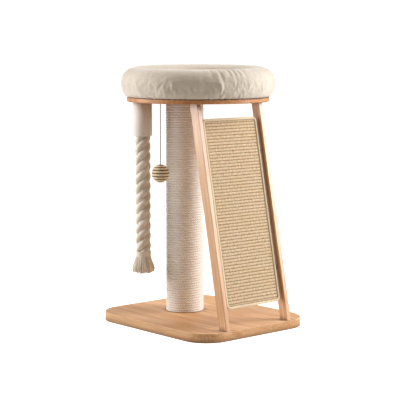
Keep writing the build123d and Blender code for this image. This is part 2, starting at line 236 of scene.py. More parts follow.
def clamped(tree, value, slope, level):
    """slope * value + level, kept from 0 to 1."""
    inputs = {0: value, 1: slope, 2: level}
    return add(tree, "Math", inputs, operation="MULTIPLY_ADD", use_clamp=True).outputs[0]


def times(tree, first, second):
    return maths(tree, "MULTIPLY", first, second)


def scaled(tree, value, low, high):
    """A 0 to 1 value brought to the range from low to high."""
    return maths(tree, "MULTIPLY_ADD", value, high - low, low)


def weighted(tree, *parts):
    """Sum of (value, weight) pairs."""
    total, *others = [times(tree, value, weight) for value, weight in parts]
    for other in others:
        total = maths(tree, "ADD", total, other)
    return total


def bumped(tree, shader, height, depth, strength=1.0):
    made = add(tree, "Bump", {"Height": height, "Distance": depth, "Strength": strength})
    feed(shader, "Normal", made.outputs["Normal"])


def stripes(tree, vector, scale, direction, distortion=0.0, profile="SIN"):
    inputs = {"Vector": vector, "Scale": scale, "Distortion": distortion}
    return add(tree, "TexWave", inputs, bands_direction=direction, wave_profile=profile).outputs["Fac"]


# --- materials ---

WARM_TINT = srgb(255, 240, 228)
# Painted shade: the dark brown put into the wood's colour in its nooks and joints, and how far off another
# surface counts.
PAINTED_SHADE_BROWN = srgb(84, 42, 18)
PAINTED_SHADE_REACH = 0.018


def wood(name, light, middle, dark, rotation=(0, 0, 0), board=0.048, seed=0.0, gloss=0.0):
    """Oiled light wood in glued strips; its grain runs along its own Y after the rotation.

    A gloss of 1 is a polished coat, and 0 is satin."""
    material, tree, shader = new_material(name, 0.35, specular=0.5)
    base = coordinates(tree, rotation=rotation)
    shift = stretched(tree, base, (1, 1, 1), (seed, seed * 1.7, seed * 0.6))
    across = axes(tree, shift)["X"]
    strip = maths(tree, "FLOOR", maths(tree, "DIVIDE", across, board))
    tone = add(tree, "TexWhiteNoise", {"W": strip}, noise_dimensions="1D").outputs["Value"]
    lane = add(tree, "CombineXYZ", {"X": 0.0, "Y": times(tree, tone, 3.0), "Z": tone}).outputs[0]
    moved = add(tree, "VectorMath", {0: shift, 1: lane}, operation="ADD").outputs[0]
    broad = cloudy(tree, stretched(tree, moved, (30, 2.2, 130)), 1.3, 4.0, 0.55, 0.8)
    rings = stripes(tree, stretched(tree, moved, (1, 0.07, 1)), 42.0, "X", 7.0)
    fibres = cloudy(tree, stretched(tree, moved, (420, 14, 900)), 1.0, 2.0)
    body = ramp(tree, broad, (0.28, dark), (0.5, middle), (0.72, light))
    ringed = mixed(tree, times(tree, rings, 0.34), body, dark)
    pores = ramp(tree, fibres, (0.30, (0.8, 0.8, 0.8, 1)), (0.50, (0, 0, 0, 1)))
    pored = mixed(tree, pores, ringed, dark)
    toned = mixed(tree, scaled(tree, tone, 0.0, 0.30), pored, middle)
    stain = cloudy(tree, stretched(tree, moved, (9, 1.2, 9)), 1.0, 2.0)
    tint = mixed(tree, stain, toned, WARM_TINT, "MULTIPLY")
    # Painted shade: where ambient occlusion finds other surfaces near, the colour turns dark brown and the
    # coat is taken off.
    open_air = add(tree, "AmbientOcclusion", {"Distance": PAINTED_SHADE_REACH}, samples=8).outputs["AO"]
    painted_shade = clamped(tree, open_air, -1.5, 1.4)
    feed(shader, "Base Color", mixed(tree, painted_shade, tint, PAINTED_SHADE_BROWN))
    feed(shader, "Roughness", scaled(tree, fibres, 0.60 - 0.20 * gloss, 0.38 - 0.14 * gloss))
    bumped(tree, shader, weighted(tree, (rings, 0.4), (fibres, 1.0)), 0.00018)
    feed(shader, "Coat Weight", scaled(tree, painted_shade, 0.12 + 0.70 * gloss, 0.0))
    shader.inputs["Coat Roughness"].default_value = 0.4 - 0.08 * gloss
    return material


def yarn(name, light, dark, along=0.0, sheen=0.25, grain=900.0, depth=0.0003):
    """Loose fibres: fine streaks, slight patches of tone and a soft sheen."""
    material, tree, shader = new_material(name, 0.92, sheen, specular=0.12)
    shader.inputs["Sheen Roughness"].default_value = 0.6
    place = coordinates(tree, scale=(1, 1, 1 - along))
    fibre = cloudy(tree, place, grain, 4.0, 0.7)
    patches = cloudy(tree, coordinates(tree), 30.0, 2.0)
    tone = weighted(tree, (fibre, 0.6), (patches, 0.4))
    feed(shader, "Base Color", ramp(tree, tone, (0.36, dark), (0.60, light)))
    bumped(tree, shader, fibre, depth)
    return material


def twisted(name, light, dark, twist_length, twists_round, depth=0.0006):
    """Rope or cord drawn on a tube: slanting strands by its length (U, metres) and round it (V, 0 to 1)."""
    material, tree, shader = new_material(name, 0.9, 0.2, specular=0.12)
    parts = axes(tree, add(tree, "TexCoord").outputs["UV"])
    along = maths(tree, "DIVIDE", parts["X"], twist_length)
    phase = times(tree, maths(tree, "ADD", along, parts["Y"]), twists_round * TURN)
    strand = scaled(tree, maths(tree, "COSINE", phase), 0.5, 1.0)
    fibre = cloudy(tree, coordinates(tree), 1400.0, 3.0, 0.7)
    patches = cloudy(tree, coordinates(tree), 26.0, 3.0, 0.6)
    tone = weighted(tree, (strand, 0.45), (fibre, 0.30), (patches, 0.25))
    feed(shader, "Base Color", ramp(tree, tone, (0.20, dark), (0.62, light)))
    bumped(tree, shader, weighted(tree, (strand, 1.0), (fibre, 0.3)), depth)
    return material


def woven(name, light, dark, thread=0.0009, depth=0.0002):
    """Plain-woven cloth by its surface coordinates in metres, with faint slubs and patches."""
    material, tree, shader = new_material(name, 0.92, 0.55, specular=0.12)
    shader.inputs["Sheen Roughness"].default_value = 0.5
    place = coordinates(tree, kind="UV")
    warp, weft = (stripes(tree, place, 1 / (thread * 2) / 3.2, way, 0.4) for way in "XY")
    threads = maths(tree, "MAXIMUM", warp, weft)
    slub = cloudy(tree, stretched(tree, place, (40, 700, 40)), 1.0, 3.0)
    patches = cloudy(tree, coordinates(tree), 14.0, 3.0, 0.6)
    tone = weighted(tree, (threads, 0.22), (slub, 0.38), (patches, 0.40))
    feed(shader, "Base Color", ramp(tree, tone, (0.30, dark), (0.66, light)))
    bumped(tree, shader, maths(tree, "ADD", threads, slub), depth, 0.5)
    return material


def steel(name):
    """Zinc-plated steel with fine scratches."""
    material, tree, shader = new_material(name, 0.3, metallic=1.0, specular=0.5)
    scratches = cloudy(tree, coordinates(tree, scale=(900, 900, 60)), 1.0, 3.0, 0.6)
    spangle = cloudy(tree, coordinates(tree), 220.0, 2.0)
    feed(shader, "Base Color", ramp(tree, spangle, (0.35, srgb(168, 170, 168)), (0.65, srgb(205, 205, 198))))
    feed(shader, "Roughness", scaled(tree, scratches, 0.22, 0.48))
    bumped(tree, shader, scratches, 0.00005)
    return material


def cardboard(name):
    """Brown board tube wound in a slanting spiral."""
    material, tree, shader = new_material(name, 0.85, specular=0.2)
    seam = stripes(tree, coordinates(tree, rotation=(0.5, 0, 0.3)), 4.0, "Z", 0.0, "SAW")
    fibre = cloudy(tree, coordinates(tree, scale=(300, 300, 900)), 1.0, 4.0, 0.7)
    body = ramp(tree, fibre, (0.3, srgb(150, 118, 82)), (0.7, srgb(188, 156, 116)))
    edge = ramp(tree, seam, (0.0, (0.5, 0.5, 0.5, 1)), (0.06, (0, 0, 0, 1)))
    feed(shader, "Base Color", mixed(tree, edge, body, srgb(112, 84, 56)))
    bumped(tree, shader, fibre, 0.0002)
    return material


def moulded(name, light, dark):
    """Light moulded plastic with a fine spark-eroded grain."""
    material, tree, shader = new_material(name, 0.45, specular=0.5)
    grain = cloudy(tree, coordinates(tree), 1500.0, 2.0)
    patches = cloudy(tree, coordinates(tree), 60.0, 2.0)
    feed(shader, "Base Color", ramp(tree, patches, (0.35, dark), (0.65, light)))
    feed(shader, "Roughness", scaled(tree, grain, 0.38, 0.55))
    bumped(tree, shader, grain, 0.00008)
    return material


def tape(name, light, dark, size):
    """Hook or loop tape: rows of tiny bumps."""
    material, tree, shader = new_material(name, 0.8, 0.2, specular=0.2)
    cells = add(tree, "TexVoronoi", {"Vector": coordinates(tree), "Scale": size}).outputs["Distance"]
    feed(shader, "Base Color", ramp(tree, cells, (0.1, light), (0.6, dark)))
    bumped(tree, shader, cells, 0.0005)
    return material


# --- mesh helpers ---

def piece(name, points, faces, surface, material, body):
    """New smooth object from points and faces; surface gives each face corner's (U, V)."""
    mesh = bpy.data.meshes.new(name)
    mesh.from_pydata([tuple(p) for p in points], [], faces)
    layer = mesh.uv_layers.new(name="surface")
    layer.data.foreach_set("uv", np.asarray(surface, np.float32).ravel())
    shell = bmesh.new()
    shell.from_mesh(mesh)
    bmesh.ops.recalc_face_normals(shell, faces=shell.faces)
    shell.to_mesh(mesh)
    shell.free()
    mesh.polygons.foreach_set("use_smooth", [True] * len(mesh.polygons))
    mesh.materials.append(material)
    mesh.update()
    made = bpy.data.objects.new(name, mesh)
    bpy.context.scene.collection.objects.link(made)
    if body:
        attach(made, body)
    return made


class Skin:
    """Points, faces and surface coordinates gathered from several swept shapes."""

    def __init__(self):
        self.points = []
        self.faces = []
        self.surface = []
        self.count = 0

    def grid(self, rows, along, around, closed_rows=False):
        """Adds rows of points, each a closed ring; along and around are their surface coordinates."""
        rows = np.asarray(rows, float)
        many, ring = rows.shape[:2]
        start = self.count
        self.points.append(rows.reshape(-1, 3))
        self.count += many * ring
        last = many if closed_rows else many - 1
        for i in range(last):
            following = (i + 1) % many
            for j in range(ring):
                beside = (j + 1) % ring
                here, there = start + i * ring, start + following * ring
                self.faces.append((here + j, here + beside, there + beside, there + j))
                a0, a1 = along[i], along[i + 1] if i + 1 < len(along) else 2 * along[-1] - along[-2]
                b0, b1 = around[j], around[j + 1]
                self.surface += [(a0, b0), (a0, b1), (a1, b1), (a1, b0)]
        if not closed_rows:
            for row, flip in ((0, True), (many - 1, False)):
                corners = [start + row * ring + j for j in range(ring)]
                self.faces.append(tuple(reversed(corners)) if flip else tuple(corners))
                self.surface += [(along[row], 0.5)] * ring

    def make(self, name, material, body, slot):
        return piece(name, np.concatenate(self.points), self.faces, self.surface, material, body)


def lengths(line):
    """Distance along a line of points, from its start."""
    steps = np.linalg.norm(np.diff(line, axis=0), axis=1)
    return np.concatenate([[0.0], np.cumsum(steps)])


def circle(steps):
    """Evenly spaced bearings, from 0 to a whole turn less one step."""
    return np.linspace(0, TURN, steps, endpoint=False)


def polar(middle, reach, bearing, heights):
    """Points round the vertical axis through middle."""
    reach, bearing, heights = np.broadcast_arrays(reach, bearing, heights)
    across, along = middle[0] + reach * np.cos(bearing), middle[1] + reach * np.sin(bearing)
    return np.stack([across, along, heights], axis=-1)


def ways_of(bearing):
    """Level unit directions."""
    return np.stack([np.cos(bearing), np.sin(bearing), 0 * bearing], axis=-1)


def unit(vectors):
    return vectors / np.linalg.norm(vectors, axis=-1, keepdims=True)


def directions(line):
    """Unit direction of travel at each point of a line."""
    return unit(np.gradient(line, axis=0))


def tube_rows(line, side, other, widths, heights, ring, squareness=2.0):
    """Rings of an oval tube round a line; side and other are its two cross directions."""
    angle = circle(ring)
    power = 2 / squareness
    widths = np.broadcast_to(widths, len(line))[:, None, None]
    heights = np.broadcast_to(heights, len(line))[:, None, None]
    outward, upward = np.cos(angle), np.sin(angle)
    outward = np.sign(outward) * np.abs(outward) ** power
    upward = np.sign(upward) * np.abs(upward) ** power
    across = outward[None, :, None] * side[:, None, :] * widths
    upright = upward[None, :, None] * other[:, None, :] * heights
    return line[:, None, :] + across + upright


def surfaced(name, rows, along, around, *making, closed_rows=False):
    """Piece of one grid; making is its material, body and slot, and the slot is not used."""
    skin = Skin()
    skin.grid(rows, along, around, closed_rows)
    return skin.make(name, *making)


def wound(name, line, outward, across, widths, heights, ring, *making, squareness=2.0):
    """Piece for one cord wound along a line; outward and across are its cross directions."""
    rows = tube_rows(line, outward, across, widths, heights, ring, squareness)
    return surfaced(name, rows, lengths(line), np.linspace(0, 1, ring + 1), *making)


def add_tube(skin, line, radius, ring):
    """Round tube along a line that runs mostly downwards, added to a skin."""
    travel = directions(line)
    side = unit(np.cross(travel, np.broadcast_to((1.0, 0.2, 0.0), travel.shape)))
    other = np.cross(travel, side)
    rows = tube_rows(line, side, other, radius, radius, ring)
    skin.grid(rows, lengths(line), np.linspace(0, 1, ring + 1))


def nurbs_line(route, spacing):
    """Evenly spaced points read from the route's own NURBS spline."""
    curve = bpy.data.curves.new("route", "CURVE")
    curve.dimensions = "3D"
    curve.resolution_u = 48
    spline = curve.splines.new("NURBS")
    spline.points.add(len(route) - 1)
    for point, place in zip(spline.points, route):
        point.co = (*place, 1.0)
    spline.order_u = 3
    spline.use_endpoint_u = True
    holder = bpy.data.objects.new("route", curve)
    mesh = bpy.data.meshes.new_from_object(holder)
    line = np.array([tuple(v.co) for v in mesh.vertices])
    bpy.data.objects.remove(holder)
    bpy.data.meshes.remove(mesh)
    bpy.data.curves.remove(curve)
    at = lengths(line)
    wanted = np.linspace(0, at[-1], max(2, round(at[-1] / spacing)) + 1)
    return np.stack([np.interp(wanted, at, line[:, axis]) for axis in range(3)], axis=1)


def laid_cord(line, radius, lay, strands, strand_share, ring, yarns, yarn_depth, swell=None):
    """Skin of a laid rope along a line that runs downwards; swell scales its section at each point."""
    skin = Skin()
    travel = directions(line)
    east = unit(np.cross(travel, np.broadcast_to((0.0, 1.0, 0.0), travel.shape)))
    north = np.cross(travel, east)
    at = lengths(line)
    swell = np.ones(len(line)) if swell is None else swell
    strand_r = radius * strand_share
    orbit = radius - strand_r
    rate = TURN / lay
    pace = math.sqrt(1 + (orbit * rate) ** 2)
    tilt_sine = orbit * rate / pace
    yarn_rate = tilt_sine * pace ** 2 / strand_r
    angle = circle(ring)
    for strand in range(strands):
        turn = rate * at + TURN * strand / strands
        outward = np.cos(turn)[:, None] * east + np.sin(turn)[:, None] * north
        sideways = -np.sin(turn)[:, None] * east + np.cos(turn)[:, None] * north
        centre = line + outward * (orbit * swell)[:, None]
        across = (sideways - travel * orbit * rate) / pace
        ridges = 1 + yarn_depth * np.cos(yarns * (angle[None, :] + yarn_rate * at[:, None] + strand))
        reach = (strand_r * swell)[:, None] * ridges
        rows = centre[:, None, :] + (reach * np.cos(angle))[..., None] * outward[:, None, :]
        rows += (reach * np.sin(angle))[..., None] * across[:, None, :]
        skin.grid(rows, at * pace, np.linspace(0, 1, ring + 1))
    return skin


def paint(node, material):
    """Gives a CAD node its material."""
    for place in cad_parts[node].material_slots:
        place.material = material


# --- hanging rope ---

ROPE_LAY = 0.080
ROPE_STEP = 0.0022
ROPE_IN_SLEEVE = 0.013
ROPE_BALL_R = 0.0212
WHIPPING_TURNS = 10
WHIPPING_STEPS = 44
WHIPPING_THREAD_R = 0.00080


def make_rope():
    """Three-strand rope from the sleeve's mouth into the whipping, with whipping and tassel."""
    cotton = yarn("cotton_rope", srgb(250, 243, 232), srgb(218, 205, 186), grain=700.0)
    line = nurbs_line(ROPE_ROUTE, ROPE_STEP)
    hidden = np.arange(ROPE_IN_SLEEVE, 0, -ROPE_STEP)
    whole = np.concatenate([line[0] + hidden[:, None] * UP, line])
    above = np.clip(whole[:, 2] - ROPE_ROUTE[0][2], 0, None)
    end_low = span("rope_whipping")[0][2]
    swell = np.sqrt(np.clip(1 - (above / ROPE_BALL_R) ** 2, 0.1, 1))
    end_high = span("rope_whipping")[1][2]
    swell *= np.interp(whole[:, 2], [end_low, end_high, end_high + 0.006], [0.90, 0.92, 1.0])
    skin = laid_cord(whole, ROPE_R, ROPE_LAY, strands=3, strand_share=0.464, ring=84, yarns=14,
                     yarn_depth=0.045, swell=swell)
    rope = skin.make("rope_strands", cotton, None, "cotton_rope")
    middle = np.array(ROPE_ROUTE[0])
    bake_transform(rope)
    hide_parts("rope_upper", "rope_lower")
    whipping = make_whipping(middle)
    tassel = make_tassel(middle)
    paint("rope_top", cotton)


def make_whipping(middle):
    """Thread wound tightly round the rope's end."""
    low, high, _ = span("rope_whipping")
    thread = twisted("whipping_cord", srgb(252, 246, 236), srgb(230, 220, 204), 0.004, 1, depth=0.00015)
    radius = WHIPPING_THREAD_R
    count = np.arange(WHIPPING_TURNS * WHIPPING_STEPS + 1)
    angle = count / WHIPPING_STEPS * TURN
    reach = ROPE_R - 0.0003 + 0.0004 * np.sin(angle + 0.8)
    heights = np.interp(count, [0, count[-1]], [low[2] + radius, high[2] - radius])
    line, outward = polar(middle, reach, angle, heights), ways_of(angle)
    whipping = wound("rope_whipping_thread", line, outward, np.broadcast_to(UP, outward.shape), radius,
                     radius * 1.05, 8, thread, "rope", "whipping_cord")
    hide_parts("rope_whipping")
    return whipping


TASSEL_PARTS = 3
TASSEL_GAP = math.radians(11)
TASSEL_GAP_FACING = math.radians(-106)
TASSEL_RINGS = [(0.0186, 0.0282, 78, 0.1335), (0.0150, 0.0232, 57, 0.1310), (0.0105, 0.0165, 36, 0.1290),
                (0.0050, 0.0085, 18, 0.1280)]  # radius at its top and end, yarns, height of their ends
TASSEL_HAIRS = 90
HAIR_START = 0.160


def make_tassel(middle):
    """Unlaid yarns in three clumps that flare towards their uneven ends."""
    low, high, _ = span("rope_tassel")
    soft = yarn("tassel_yarn", srgb(254, 247, 236), srgb(220, 206, 184), along=0.85, grain=800.0)
    skin = Skin()
    top = high[2] + 0.003
    share = np.linspace(0, 1, 15)
    for narrow, wide, many, bottom in TASSEL_RINGS:
        for index in range(many):
            part, place = divmod(index, many // TASSEL_PARTS)
            wedge = TURN / TASSEL_PARTS - TASSEL_GAP
            angle = TASSEL_GAP_FACING + TASSEL_GAP / 2 + part * TURN / TASSEL_PARTS
            angle += wedge * (place + 0.5) / (many // TASSEL_PARTS) + CREW.uniform(-0.03, 0.03)
            lean = CREW.uniform(-0.10, 0.10)
            flare = wide + CREW.uniform(-0.0012, 0.0012) - narrow
            end = max(low[2] + 0.001, bottom + CREW.uniform(-0.0030, 0.0045))
            reach = narrow + flare * np.clip(share / 0.78, 0, 1) ** 1.25
            reach -= 0.0012 * np.clip(share - 0.8, 0, 1) * 5
            wave = 0.0005 * np.sin(share * CREW.uniform(5, 9) + CREW.uniform(0, TURN))
            bearing = angle + lean * share
            line = polar(middle, reach + wave, bearing, top + (end - top) * share)
            thick = np.interp(share, [0, 0.15, 0.85, 1], [0.0010, 0.0013, 0.0017, 0.0009])
            add_tube(skin, line, thick * CREW.uniform(0.92, 1.12), 7)
    for _ in range(TASSEL_HAIRS):
        angle = CREW.uniform(0, TURN)
        reach = CREW.uniform(0.012, 0.0285)
        end = CREW.uniform(0.130, 0.142)
        bend = np.linspace(0, 1, 7)
        bearing = angle + CREW.uniform(-0.15, 0.15) * bend
        out = np.interp(bend, [0, 1], [reach * 0.86, reach + CREW.uniform(0.0, 0.0022)])
        line = polar(middle, out, bearing, HAIR_START + (end - HAIR_START) * bend)
        add_tube(skin, line, 0.00038, 4)
    tassel = skin.make("rope_tassel_yarns", soft, "rope", "tassel_yarn")
    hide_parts("rope_tassel")
    return tassel


def make_sleeve():
    """Cloth sleeve: its lower edge is turned in round the tube's mouth, and its seam is at the back."""
    low, high, middle = span("sleeve_cover")
    outer = (high[0] - low[0]) / 2
    felt = woven("sleeve_cloth", srgb(246, 242, 235), srgb(230, 223, 212), thread=0.0005, depth=0.00006)
    inner = (span("rope_top")[1][0] - span("rope_top")[0][0]) / 2
    profile = [
        (outer, high[2]), (outer, low[2] + 0.0012), (outer - 0.0004, low[2] + 0.0002),
        (outer - 0.0014, low[2] - 0.0003), (inner + 0.0004, low[2] - 0.0003),
        (inner - 0.0001, low[2] + 0.0004), (inner - 0.0001, low[2] + 0.012), (inner, low[2] + 0.012),
        (inner + 0.001, low[2] + 0.0004), (outer - 0.0009, low[2] + 0.0012), (outer - 0.0009, high[2]),
    ]
    profile = np.array(profile)
    angle = circle(160)
    apart = np.abs((angle - BACK + math.pi) % TURN - math.pi)
    seam = -0.0005 * np.exp(-(apart / 0.03) ** 2) + 0.0004 * np.exp(-((apart - 0.08) / 0.04) ** 2)
    reach = np.tile(profile[:, 0], (len(angle), 1))
    reach[:, :2] += seam[:, None]
    rows = polar(middle, reach, angle[:, None], profile[None, :, 1])
    heights = lengths(profile)
    sleeve = surfaced("sleeve_cloth_tube", rows, angle * outer, np.append(heights, heights[-1] + 0.001), felt,
                      "frame", "sleeve_cloth", closed_rows=True)
    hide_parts("sleeve_cover")


# --- hanging ball ---

BALL_TURN_ANGLE = math.radians(21.3)
CREAM_START = math.radians(11.3)
BROWN_START = math.radians(22.0)
BALL_TURNS = 8
BALL_STEPS = 72
STRING_LAY = 0.0075
CROSSING_SHARE = 0.22


def ball_spiral(start, turns, orbit, centre):
    """Winding that is level nearly all the way round and steps down to its next turn at the back."""
    turn = np.arange(int(turns * BALL_STEPS) + 1) / BALL_STEPS
    whole, part = np.divmod(turn, 1.0)
    step = np.clip((part - 1 + CROSSING_SHARE) / CROSSING_SHARE, 0, 1)
    fall = start + BALL_TURN_ANGLE * (whole + step * step * (3 - 2 * step))
    fall = np.clip(fall, 0.06, math.pi - 0.06)[:, None]
    back = BACK + CROSSING_SHARE * math.pi
    outward = np.sin(fall) * ways_of(back + turn * TURN) + np.cos(fall) * UP
    return centre + orbit * outward, outward


def make_ball():
    """Ball wound in two cords, and the string that it hangs on."""
    low, high, centre = span("ball_winding")
    ball_r = (high[2] - low[2]) / 2
    cream = twisted("ball_cord_cream", srgb(255, 246, 222), srgb(240, 218, 180), 0.009, 2)
    brown = twisted("ball_cord_brown", srgb(146, 104, 62), srgb(88, 58, 30), 0.007, 2)
    for name, material, start, radius, sunk in (
        ("ball_cord_cream", cream, CREAM_START, 0.00285, 0.0),
        ("ball_cord_brown", brown, BROWN_START, 0.00190, 0.0010),
    ):
        turns = BALL_TURNS - 0.1 if start == CREAM_START else BALL_TURNS - 0.6
        line, outward = ball_spiral(start, turns, ball_r - radius - sunk, centre)
        across = unit(np.cross(directions(line), outward))
        wound(name, line, outward, across, radius, radius * 1.04, 10, material, "ball",
                          "ball_cord")
    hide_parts("ball_winding")
    paint("ball_core", moulded("ball_plastic", srgb(226, 210, 182), srgb(206, 188, 158)))

    grey = yarn("grey_string", srgb(118, 120, 106), srgb(72, 74, 62), grain=2400.0, depth=0.0001, sheen=0.1)
    line = nurbs_line(STRING_ROUTE, 0.0008)
    above = np.array([[0, 0, 0.0010], [0, 0, 0.0005]]) + line[0]
    below = line[-1] - np.arange(0.0008, 0.0060, 0.0008)[:, None] * UP
    line = np.concatenate([above, line, below])
    skin = laid_cord(line, STRING_R, STRING_LAY, strands=3, strand_share=0.5, ring=8, yarns=1, yarn_depth=0.0)
    string = skin.make("ball_string", grey, None, "grey_string")
    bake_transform(string)
    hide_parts("string_upper", "string_lower")
    paint("string_knot", grey)


# --- post ---

POST_TURNS = 86
POST_STEPS = 120
POST_LAY = 0.0196


def make_post():
    """Rope wound on the post: the first turn tapers in and lies level, the last meets the top at its end."""
    low, high, middle = span("post_wrap")
    outer = (high[0] - low[0]) / 2
    core = (span("post_core")[1][0] - span("post_core")[0][0]) / 2
    depth = (outer - core) / 2
    half_pitch = (high[2] - low[2]) / POST_TURNS / 2
    turns = np.arange(POST_TURNS * POST_STEPS + 1) / POST_STEPS
    angle = turns * TURN
    drift = CREW.standard_normal(len(turns)).cumsum() / 60
    reach = core + depth + 0.00015 * np.sin(turns * 1.7) + 0.0001 * np.clip(drift, -2, 2)
    bottom = low[2] + 2 * half_pitch * np.maximum(turns - 1, 0)
    top = low[2] + 2 * half_pitch * turns
    line, outward = polar(middle, reach, angle, (bottom + top) / 2), ways_of(angle)
    tall = np.maximum((top - bottom) / 2, 0.0004)
    rope = twisted("post_rope", srgb(250, 247, 243), srgb(222, 212, 200), POST_LAY, 3, depth=0.0003)
    wrap = wound("post_rope_turns", line, outward, np.broadcast_to(UP, outward.shape), depth, tall * 1.02, 8,
                 rope, "frame", "post_rope", squareness=2.7)
    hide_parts("post_wrap")


# --- scratching panel ---

PANEL_T = 0.010
SISAL_T = 0.0036
BINDING_LAP = 0.0065
RIB_PITCH = 0.0081
RIB_ROWS = 8
RIB_COLUMNS = 170
RIB_HEIGHT = 0.0020
YARN_BUMP = 0.0055
SEAM_INSET = 0.0025
SEAM_PINCH = 0.0030
STITCH_PITCH = 0.0052


def panel_frame():
    """Middle, uphill direction, outward direction, width and length of the panel."""
    low, high, middle = span("panel_binding")
    size = high - low
    lean = 0.2
    for _ in range(8):
        lean = math.atan2(size[1] - PANEL_T * math.cos(lean), size[2] - PANEL_T * math.sin(lean))
    uphill = np.array((0, math.sin(lean), math.cos(lean)))
    outward = np.array((0, -math.cos(lean), math.sin(lean)))
    length = (size[2] - PANEL_T * math.sin(lean)) / math.cos(lean)
    return middle, uphill, outward, size[0], length, lean


def make_sisal(middle, uphill, outward, width, length):
    """Ribbed sisal: thick weft ribs, each a row of uneven yarn bumps."""
    half_w, half_l = width / 2 - 0.004, length / 2 - 0.004
    ribs = round(2 * half_l / RIB_PITCH)
    rows, columns = ribs * RIB_ROWS + 1, RIB_COLUMNS
    up = np.linspace(-half_l, half_l, rows)
    across = np.linspace(-half_w, half_w, columns)
    height = np.zeros((rows, columns))
    for rib in range(ribs):
        phase = math.pi * (rib % 2) + CREW.uniform(-0.5, 0.5)
        wander = CREW.uniform(0.85, 1.15, 64).repeat(2)
        bump = np.interp(across, np.linspace(-half_w, half_w, 128), wander)
        beads = np.abs(np.sin(across / YARN_BUMP * math.pi + phase / 2 + 0.9 * bump)) ** 0.6
        for k in range(RIB_ROWS):
            share = k / RIB_ROWS
            crown = math.sin(math.pi * share) ** 0.55 if share > 0 else 0.0
            height[rib * RIB_ROWS + k] = crown * RIB_HEIGHT * (0.50 + 0.50 * beads * bump)
    seam_x, seam_y = half_w - SEAM_INSET, half_l - SEAM_INSET
    height *= np.clip((seam_x - np.abs(across)) / SEAM_PINCH, 0.25, 1.0)[None, :]
    height *= np.clip((seam_y - np.abs(up)) / SEAM_PINCH, 0.25, 1.0)[:, None]
    height += CREW.uniform(-0.0001, 0.0001, height.shape)
    level = PANEL_T / 2 - 0.0022
    points = middle + across[None, :, None] * X_WAY + up[:, None, None] * uphill
    points = (points + (level + height)[..., None] * outward).reshape(-1, 3)
    places = np.array([(i, j) for i in range(rows - 1) for j in range(columns - 1)])
    corner_rows = places[:, None, 0] + np.array((0, 0, 1, 1))
    corner_columns = places[:, None, 1] + np.array((0, 1, 1, 0))
    faces = (corner_rows * columns + corner_columns).tolist()
    surface = np.stack([across[corner_columns], up[corner_rows]], axis=-1).reshape(-1, 2).tolist()
    grid = np.arange(rows * columns).reshape(rows, columns)
    rim = [*grid[0], *grid[1:, -1], *grid[-1, -2::-1], *grid[-2:0:-1, 0]]
    under = points[rim] - outward * ((points[rim] - middle) @ outward - PANEL_T / 2 + SISAL_T)[:, None]
    first = len(points)
    points = np.concatenate([points, under])
    for k, here in enumerate(rim):
        following = (k + 1) % len(rim)
        faces.append((first + k, first + following, rim[following], here))
    faces.append(tuple(range(first + len(rim) - 1, first - 1, -1)))
    surface += [(0, 0)] * (5 * len(rim))
    material = sisal_material(2 * half_l / ribs, half_l, seam_x, seam_y)
    sisal = piece("sisal_weave", points, faces, surface, material, "frame")
    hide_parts("panel_sisal")


def sisal_material(pitch, start, seam_x, seam_y):
    """Pale golden sisal with hairy fibres, and painted shade in the grooves between its ribs and along its
    seam.
    """
    material, tree, shader = new_material("sisal_cloth", 0.9, 0.15, specular=0.12)
    place = add(tree, "TexCoord").outputs["UV"]
    tone = cloudy(tree, stretched(tree, place, (180, 124, 1)), 1.0, 2.0, 0.6)
    broad = cloudy(tree, stretched(tree, place, (9, 22, 1)), 1.0, 2.0)
    fibre = cloudy(tree, stretched(tree, place, (700, 2600, 1)), 1.0, 3.0, 0.7)
    parts = axes(tree, place)
    upward = maths(tree, "ADD", parts["Y"], start)
    # Painted shade: a dark band along the seam, where the binding laps over the sisal.
    past_side = maths(tree, "SUBTRACT", maths(tree, "ABSOLUTE", parts["X"]), seam_x)
    past_end = maths(tree, "SUBTRACT", maths(tree, "ABSOLUTE", parts["Y"]), seam_y)
    seam = clamped(tree, maths(tree, "MAXIMUM", past_side, past_end), 0.8 / SEAM_PINCH, 0.8)
    # Painted shade: the grooves between the ribs are painted dark brown.
    groove_shade = scaled(tree, maths(tree, "COSINE", times(tree, upward, TURN / pitch)), 0.5, 1.0)
    groove_shade = maths(tree, "POWER", groove_shade, 2.6)
    body = ramp(tree, tone, (0.32, srgb(212, 180, 138)), (0.50, srgb(238, 215, 184)),
                (0.70, srgb(252, 236, 208)))
    golden = ramp(tree, broad, (0.35, (0, 0, 0, 1)), (0.7, (0.35, 0.35, 0.35, 1)))
    warmed = mixed(tree, golden, body, srgb(232, 204, 156))
    haired = mixed(tree, scaled(tree, fibre, 0.0, 0.30), warmed, srgb(176, 142, 100))
    shaded = maths(tree, "MAXIMUM", times(tree, groove_shade, 0.66), seam)
    grooved = mixed(tree, shaded, haired, srgb(124, 90, 58))
    feed(shader, "Base Color", grooved)
    bumped(tree, shader, fibre, 0.0005)
    return material


def rounded_outline(half_w, half_l, corner, step):
    """Closed outline with round corners: points and outward normals, in two plane coordinates."""
    points, normals = [], []
    inner = np.array((half_w - corner, half_l - corner))
    many = max(4, round(corner * math.pi / 2 / step))
    signs = ((1, 1), (-1, 1), (-1, -1), (1, -1))
    for quarter in range(4):
        for k in range(many + 1):
            angle = math.radians(90 * quarter + 90 * k / many)
            way = np.array((math.cos(angle), math.sin(angle)))
            points.append(inner * signs[quarter] + corner * way)
            normals.append(way)
        run = inner * signs[(quarter + 1) % 4] + corner * way - points[-1]
        gap = np.linalg.norm(run)
        start = points[-1]
        for k in range(1, round(gap / step)):
            points.append(start + run * k * step / gap)
            normals.append(way)
    return np.array(points), np.array(normals)


